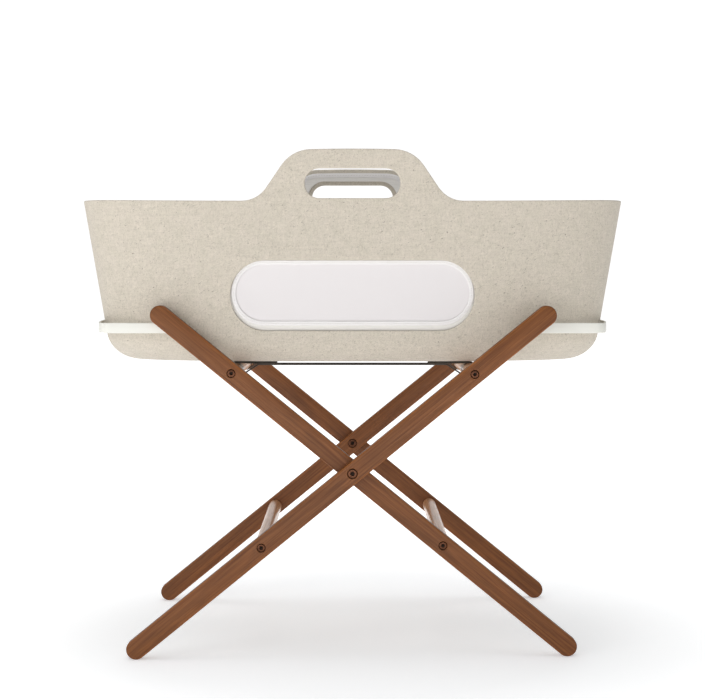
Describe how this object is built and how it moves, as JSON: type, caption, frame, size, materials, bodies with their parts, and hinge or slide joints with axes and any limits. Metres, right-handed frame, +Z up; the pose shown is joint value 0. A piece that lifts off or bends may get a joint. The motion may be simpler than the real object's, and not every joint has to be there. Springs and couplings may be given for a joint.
{
  "type": "moses basket",
  "caption": "Moulded felt moses basket with mesh windows, cut-out carry handles, liner and mattress, resting in a folding wooden cross-leg stand with straps and guard hoops",
  "frame": {"origin": "on the floor, below the middle of the basket and of the open stand", "axes": "+Z up; +X along the basket's length; -Y is the front, the side with the outermost bottom-left to top-right leg"},
  "size_m": [0.85, 0.4716, 0.7578],
  "materials": {
    "felt": "moulded oatmeal melange felt, matte, fine fibres",
    "lining": "soft white woven cotton, matte",
    "mesh": "fine white spacer mesh, matte",
    "mattress_cotton": "white cotton mattress cover, matte",
    "foam": "cream open-cell foam",
    "board": "pressed board, matte",
    "walnut": "walnut-stained hardwood, satin, grain along each piece",
    "walnut_dowel": "walnut-stained turned dowel, satin",
    "bronze": "dark bronze finish on steel, satin",
    "brass": "plain brass",
    "nylon": "black nylon",
    "webbing": "dark grey-brown ribbed webbing, matte",
    "hoop_paint": "pale greige powder coat, satin"
  },
  "bodies": {
    "frame_a": {"leg_a_front": "walnut", "leg_a_back": "walnut", "dowel_a_upper": "walnut_dowel", "dowel_a_lower": "walnut_dowel", "hoop_a": "hoop_paint", "hoop_spacer_a": "hoop_paint", "hoop_screw_a_front": "bronze", "hoop_screw_a_back": "bronze", "screw_a_upper_front": "bronze", "screw_a_upper_back": "bronze", "screw_a_lower_front": "bronze", "screw_a_lower_back": "bronze", "insert_a_upper_front": "brass", "insert_a_upper_back": "brass", "insert_a_lower_front": "brass", "insert_a_lower_back": "brass", "pivot_bolt_front": "bronze", "pivot_bolt_back": "bronze", "pivot_washer_front": "nylon", "pivot_washer_back": "nylon", "pivot_nut_front": "bronze", "pivot_nut_back": "bronze", "strap_front": "webbing", "strap_back": "webbing"},
    "frame_b": {"leg_b_front": "walnut", "leg_b_back": "walnut", "dowel_b_upper": "walnut_dowel", "dowel_b_lower": "walnut_dowel", "hoop_b": "hoop_paint", "hoop_spacer_b": "hoop_paint", "hoop_screw_b_front": "bronze", "hoop_screw_b_back": "bronze", "screw_b_upper_front": "bronze", "screw_b_upper_back": "bronze", "screw_b_lower_front": "bronze", "screw_b_lower_back": "bronze", "insert_b_upper_front": "brass", "insert_b_upper_back": "brass", "insert_b_lower_front": "brass", "insert_b_lower_back": "brass"},
    "basket": {"felt_shell": "felt", "liner": "lining", "mesh_window_front": "mesh", "mesh_window_back": "mesh", "base_board": "board"},
    "mattress": {"mattress_cover": "mattress_cotton", "mattress_core": "foam"}
  },
  "joints": [
    {"name": "stand_fold", "type": "hinge", "parent": "frame_a", "child": "frame_b", "pos_m": [0, 0, 0.27585], "axis": [0, 1, 0], "range_deg": [0, 93], "deforming": ["strap_front", "strap_back"]},
    {"name": "basket_lift", "type": "slide", "parent": "frame_a", "child": "basket", "axis": [0.1835, 0, 0.983], "range_m": [0, 1.23]},
    {"name": "mattress_lift", "type": "slide", "parent": "basket", "child": "mattress", "axis": [0, 0, 1], "range_m": [0, 0.3]}
  ],
  "couplings": [
    {"joint": "stand_fold", "follows": "basket_lift", "rad_per_m": 1.3106}
  ]
}
